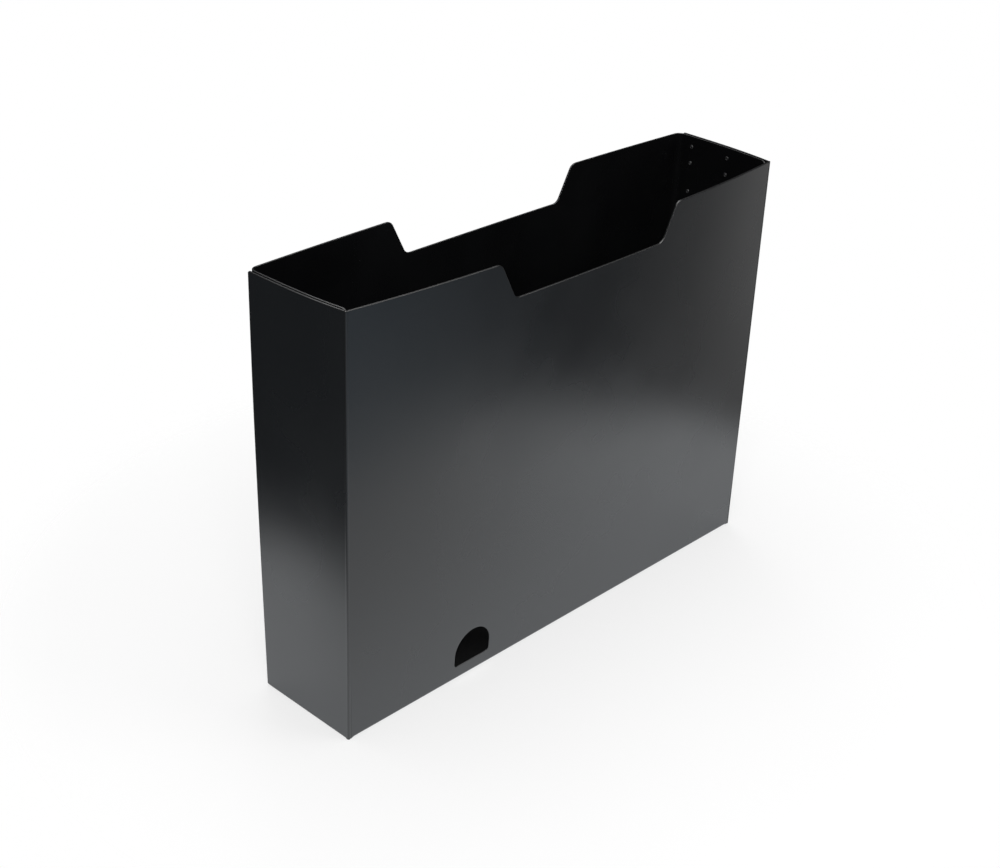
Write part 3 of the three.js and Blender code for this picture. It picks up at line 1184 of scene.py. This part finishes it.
@dataclass
class SpotWelds:
    """The spot welds through the layers of both ends, made by Geometry Nodes.

    Each weld is a low pressed ring round a flat spot on the inside, with a plug of fused sheet
    from there to the middle of the outer layer. Nothing shows on the outside.
    """

    sheet: FoldedSheet
    plug_radius: float = 1.3
    ring_radius: float = 0.95
    ring_thickness: float = 0.2
    spot_height: float = 0.12
    ring_sides: int = 18
    ring_profile: int = 6
    columns: int = 2
    column_pitch: float = 26.5
    back_margin: float = 11.0
    margin: float = 10.0
    first_row: float = 6.5
    second_row: float = 16.5
    third_row: float = 34.0
    row_pitch: float = 34.0
    tab_row: float = 12.0
    seed: int = 7

    def _rows(self) -> list[float]:
        """Gives the heights of the rows through both flaps."""
        sizes = self.sheet.sizes
        rows = [sizes.height - self.first_row, sizes.height - self.second_row]
        z = sizes.height - self.third_row
        while z >= sizes.tab_height + self.margin:
            rows.append(z)
            z -= self.row_pitch
        return rows

    def _marks(self) -> list[tuple[Vector, Vector, float]]:
        """Gives each weld's place on the inside, the way it faces and its plug's length."""
        sizes = self.sheet.sizes
        first = sizes.half_depth - self.back_margin
        marks = []
        for end in End:
            facing = Vector((end.value, 0.0, 0.0))
            for column in range(self.columns):
                y = first - column * self.column_pitch
                outer = self.sheet.flap_station(Layer.OUTER, end, y)
                inner = self.sheet.flap_station(Layer.INNER, end, y)
                for z in [*self._rows(), self.tab_row]:
                    outside = self.sheet.point(outer, z)
                    inside = self.sheet.point(inner, z, depth=sizes.thickness)
                    if z == self.tab_row:
                        inside.x = end.value * (sizes.tab_face - sizes.thickness)
                    marks.append((inside, -facing, abs(outside.x - inside.x) - sizes.thickness / 2))
        return marks

    def _places(self) -> bpy.types.Object:
        """Makes a mesh of loose points, with what each weld needs as attributes."""
        marks = self._marks()
        mesh = bpy.data.meshes.new("spot_welds")
        mesh.from_pydata([tuple(place * MM) for place, _, _ in marks], [], [])
        facing = mesh.attributes.new("facing", "FLOAT_VECTOR", "POINT")
        facing.data.foreach_set("vector", [value for _, way, _ in marks for value in way])
        length = mesh.attributes.new("length", "FLOAT", "POINT")
        length.data.foreach_set("value", [plug * MM for _, _, plug in marks])
        return added("spot_welds", mesh)

    def _tree(self, finish: bpy.types.Material) -> tuple[bpy.types.NodeTree, dict[str, object]]:
        """Builds the Geometry Nodes tree.

        Args:
            finish: the finish of the welds.

        Returns:
            The tree, and the value of each of its inputs by the input's identifier.
        """
        tree = bpy.data.node_groups.new("spot_weld_rows", "GeometryNodeTree")
        face = tree.interface
        face.new_socket("Places", in_out="INPUT", socket_type="NodeSocketGeometry")
        values = {
            face.new_socket(name, in_out="INPUT", socket_type=kind).identifier: value
            for name, kind, value in (
                ("Plug radius", "NodeSocketFloat", self.plug_radius * MM),
                ("Ring radius", "NodeSocketFloat", self.ring_radius * MM),
                ("Ring thickness", "NodeSocketFloat", self.ring_thickness * MM),
                ("Spot height", "NodeSocketFloat", self.spot_height * MM),
                ("Seed", "NodeSocketInt", self.seed),
                ("Finish", "NodeSocketMaterial", finish),
            )
        }
        face.new_socket("Welds", in_out="OUTPUT", socket_type="NodeSocketGeometry")
        bench = NodeBench(tree)
        given = bench.node("NodeGroupInput").outputs
        facing = self._attribute(bench, "facing", "FLOAT_VECTOR")
        turn = bench.node("FunctionNodeAlignRotationToVector", {"Vector": facing}, axis="Z")
        spin = bench.node("FunctionNodeRandomValue", data_type="FLOAT")
        spin_inputs = {socket.name: socket for socket in spin.inputs if socket.enabled}
        bench.feed(spin_inputs["Max"], 2 * math.pi)
        bench.feed(spin_inputs["Seed"], given["Seed"])
        angle = next(socket for socket in spin.outputs if socket.enabled)
        about = bench.node("ShaderNodeCombineXYZ", {"Z": angle})
        turns = {0: turn.outputs[0], 1: about.outputs[0]}
        turned = bench.node("FunctionNodeRotateRotation", turns, rotation_space="LOCAL")
        mark = self._mark_shape(bench, given)
        plug = self._plug_shape(bench, given)
        joined = bench.node("GeometryNodeJoinGeometry")
        for shape, stretch in ((mark, 1.0), (plug, self._attribute(bench, "length", "FLOAT"))):
            scale = bench.node("ShaderNodeCombineXYZ", {"X": 1.0, "Y": 1.0, "Z": stretch})
            parts = {
                "Points": given["Places"],
                "Instance": shape,
                "Rotation": turned.outputs[0],
                "Scale": scale.outputs[0],
            }
            placed = bench.node("GeometryNodeInstanceOnPoints", parts)
            bench.feed(joined.inputs[0], placed.outputs[0])
        real = bench.node("GeometryNodeRealizeInstances", {0: joined.outputs[0]})
        smooth = bench.node("GeometryNodeSetShadeSmooth", {0: real.outputs[0]})
        finished = {"Geometry": smooth.outputs[0], "Material": given["Finish"]}
        dressed = bench.node("GeometryNodeSetMaterial", finished)
        bench.node("NodeGroupOutput", {0: dressed.outputs[0]})
        return tree, values

    def _attribute(self, bench: NodeBench, name: str, kind: str) -> Socket:
        """Reads a named attribute of the points."""
        node = bench.node("GeometryNodeInputNamedAttribute", {"Name": name}, data_type=kind)
        return next(socket for socket in node.outputs if socket.enabled and socket.name == "Attribute")

    def _mark_shape(self, bench: NodeBench, given: bpy.types.bpy_prop_collection) -> Socket:
        """Makes the pressed ring and the flat spot in it."""
        radius = given["Ring radius"]
        path, profile = (
            bench.node("GeometryNodeCurvePrimitiveCircle", {"Resolution": sides, "Radius": size}).outputs[0]
            for sides, size in ((self.ring_sides, radius), (self.ring_profile, given["Ring thickness"]))
        )
        ring = bench.node("GeometryNodeCurveToMesh", {"Curve": path, "Profile Curve": profile})
        spot_sizes = {"Vertices": self.ring_sides, "Radius": radius, "Depth": given["Spot height"]}
        spot = bench.node("GeometryNodeMeshCylinder", spot_sizes)
        joined = bench.node("GeometryNodeJoinGeometry")
        for shape in (ring, spot):
            bench.feed(joined.inputs[0], shape.outputs[0])
        return joined.outputs[0]

    def _plug_shape(self, bench: NodeBench, given: bpy.types.bpy_prop_collection) -> Socket:
        """Makes a plug of length 1 that runs down from the mark."""
        sizes = {"Vertices": self.ring_sides, "Radius": given["Plug radius"], "Depth": 1.0}
        plug = bench.node("GeometryNodeMeshCylinder", sizes)
        sunk = {"Geometry": plug.outputs["Mesh"], "Translation": (0.0, 0.0, -0.5)}
        return bench.node("GeometryNodeTransform", sunk).outputs[0]

    def build(self, finish: bpy.types.Material) -> bpy.types.Object:
        """Makes all welds as one plain mesh.

        Args:
            finish: the finish of the welds.

        Returns:
            The finished piece.
        """
        piece = self._places()
        tree, values = self._tree(finish)
        rows = piece.modifiers.new("weld_rows", "NODES")
        rows.node_group = tree
        for identifier, value in values.items():
            rows[identifier] = value
        return made_plain(piece)


@dataclass(frozen=True)
class SoftBox:
    """A square studio lamp that is aimed at the middle of the box."""

    name: str
    place: Triple
    width: float
    power: float

    def build(self, target: Vector) -> bpy.types.Object:
        """Makes the lamp.

        Args:
            target: the point that it is aimed at.

        Returns:
            The lamp's object.
        """
        data = bpy.data.lights.new(self.name, "AREA")
        data.shape = "SQUARE"
        data.size = self.width
        data.energy = self.power
        lamp = added(self.name, data)
        lamp.location = self.place
        lamp.rotation_euler = (target - Vector(self.place)).to_track_quat("-Z", "Y").to_euler()
        return lamp


@dataclass(frozen=True)
class HorizonGlow:
    """How bright the studio is below the horizon in one direction.

    Attributes:
        azimuth: the direction in degrees, from -Y towards +X.
        strength: the brightness.
        blue: how much bluer than white it is.
    """

    azimuth: float
    strength: float
    blue: float = 0.0

    @property
    def colour(self) -> Colour:
        """The colour of the glow."""
        return (self.strength * (1 - self.blue), self.strength, self.strength * (1 + self.blue), 1.0)


@dataclass
class Studio:
    """The pale floor, the soft surroundings, the lamps and the camera."""

    floor_radius: float = 0.35
    floor_sides: int = 96
    upper: float = 1.15
    band: float = 0.06
    band_foot: Pair = (-0.22, -0.02)
    band_top: Pair = (0.58, 0.85)
    glows: tuple[HorizonGlow, ...] = (
        HorizonGlow(-180, 0.045, 0.1),
        HorizonGlow(-120, 0.095, 0.1),
        HorizonGlow(-75, 0.22, 0.05),
        HorizonGlow(-30, 0.36, 0.08),
        HorizonGlow(10, 0.44, 0.17),
        HorizonGlow(31, 0.28, 0.17),
        HorizonGlow(46, 0.08, 0.12),
        HorizonGlow(52, 0.09, 0.06),
        HorizonGlow(60, 0.21, 0.02),
        HorizonGlow(72, 0.55),
        HorizonGlow(90, 0.40),
        HorizonGlow(110, 0.12),
        HorizonGlow(135, 0.05),
        HorizonGlow(180, 0.045),
    )
    lamps: tuple[SoftBox, ...] = (
        SoftBox("key_lamp", (-1.5, -1.4, 1.9), 1.3, 26.0),
        SoftBox("fill_lamp", (1.3, -1.7, 1.6), 1.3, 12.0),
        SoftBox("top_lamp", (0.1, 0.4, 2.3), 1.5, 10.0),
        SoftBox("rim_lamp", (0.78, 1.2, 1.6), 0.55, 2.0),
    )
    camera_place: Triple = (-612.1, -553.7, 546.5)
    camera_forward: Triple = (0.64489, 0.60258, -0.47012)
    camera_right: Triple = (0.69651, -0.71659, 0.03696)
    focal_pixels: float = 1679.8
    image_width: float = 1000.0
    sensor_width: float = 36.0
    clip_start: float = 0.01

    def _floor(self) -> bpy.types.Object:
        """Makes the round floor under the box."""
        mesh = bpy.data.meshes.new("studio_floor")
        work = bmesh.new()
        bmesh.ops.create_circle(work, cap_ends=True, radius=self.floor_radius, segments=self.floor_sides)
        work.to_mesh(mesh)
        work.free()
        mesh.materials.append(PaleFloor().material())
        return added("studio_floor", mesh)

    def _world(self) -> None:
        """Makes the surroundings: white to the camera, and soft light and dark to the box."""
        world = bpy.data.worlds.new("studio")
        bpy.context.scene.world = world
        world.use_nodes = True
        bench = NodeBench(world.node_tree)
        around = bench.node("ShaderNodeTexCoord").outputs["Generated"]
        way = bench.node("ShaderNodeSeparateXYZ", {0: around}).outputs
        turn = bench.maths("ARCTAN2", way["X"], bench.maths("MULTIPLY", way["Y"], -1.0))
        share = bench.maths("ADD", bench.maths("DIVIDE", turn, 2 * math.pi), 0.5)
        ramp = bench.node("ShaderNodeValToRGB", {0: share})
        ramp.color_ramp.interpolation = "EASE"
        stops = ramp.color_ramp.elements
        # The ramp's own two stops are the first and the last glow, at azimuths of -180 and 180.
        stops[0].color = self.glows[0].colour
        stops[1].color = self.glows[-1].colour
        for glow in self.glows[1:-1]:
            stops.new((glow.azimuth + 180) / 360).color = glow.colour
        grey, sky = ((level, level, level, 1.0) for level in (self.band, self.upper))
        low = bench.mapped(way["Z"], self.band_foot, (0.0, 1.0))
        high = bench.mapped(way["Z"], self.band_top, (0.0, 1.0))
        band = bench.mixed(low, ramp.outputs["Color"], grey)
        light = world.node_tree.nodes["Background"]
        bench.feed(light.inputs["Color"], bench.mixed(high, band, sky))
        seen = bench.node("ShaderNodeBackground", {"Color": WHITE})
        to_camera = bench.node("ShaderNodeLightPath").outputs["Is Camera Ray"]
        surface = world.node_tree.nodes["World Output"].inputs["Surface"]
        bench.feed(surface, bench.blended(to_camera, light.outputs[0], seen.outputs[0]))

    def _camera(self) -> None:
        """Makes the camera at the photograph's viewing angle."""
        data = bpy.data.cameras.new("photo_camera")
        data.sensor_fit = "HORIZONTAL"
        data.sensor_width = self.sensor_width
        data.lens = self.focal_pixels / self.image_width * self.sensor_width
        data.clip_start = self.clip_start
        camera = added("photo_camera", data)
        forward = Vector(self.camera_forward).normalized()
        right = Vector(self.camera_right)
        right = (right - forward * right.dot(forward)).normalized()
        turn = Matrix((right, right.cross(forward), -forward)).transposed()
        camera.matrix_world = Matrix.Translation(Vector(self.camera_place) * MM) @ turn.to_4x4()
        bpy.context.scene.camera = camera

    def build(self) -> None:
        """Sets up everything round the box."""
        bpy.context.scene.view_settings.view_transform = "Standard"
        self._world()
        self._floor()
        target = (Vector(CAD_BOX[0]) + Vector(CAD_BOX[1])) / 2
        for lamp in self.lamps:
            lamp.build(target)
        self._camera()
        LOG.info("studio: %d lamps", len(self.lamps))


def main() -> None:
    """Builds the studio, the sheet and its welds, and reports each piece."""
    logging.basicConfig(level=logging.INFO, format="%(name)s: %(message)s")
    Studio().build()
    sheet_finish = SatinSheet("black_sheet").material()
    edge_finish = SatinSheet("cut_edge", roughness=(0.22, 0.3), grain=0.25, dusty=False).material()
    # The welds are the sheet's own black polypropylene. Their dark and light base colours are about ten times
    # lighter than the sheet's, which is a painted highlight that makes the small marks read bright. Their
    # lower roughness is real.
    weld_painted_highlight_finish = SatinSheet(
        "weld_spot_painted_highlight",
        dark=(0.03, 0.03, 0.031, 1.0),
        light=(0.045, 0.045, 0.047, 1.0),
        roughness=(0.2, 0.26),
        grain_depth=0.002,
        dusty=False,
    ).material()
    folded = FoldedSheet()
    sheet = folded.build(sheet_finish, edge_finish)
    delivered(sheet)
    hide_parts(CAD_NODE)
    welds = SpotWelds(folded).build(weld_painted_highlight_finish)
    delivered(welds)


if __name__ == "__main__":
    main()
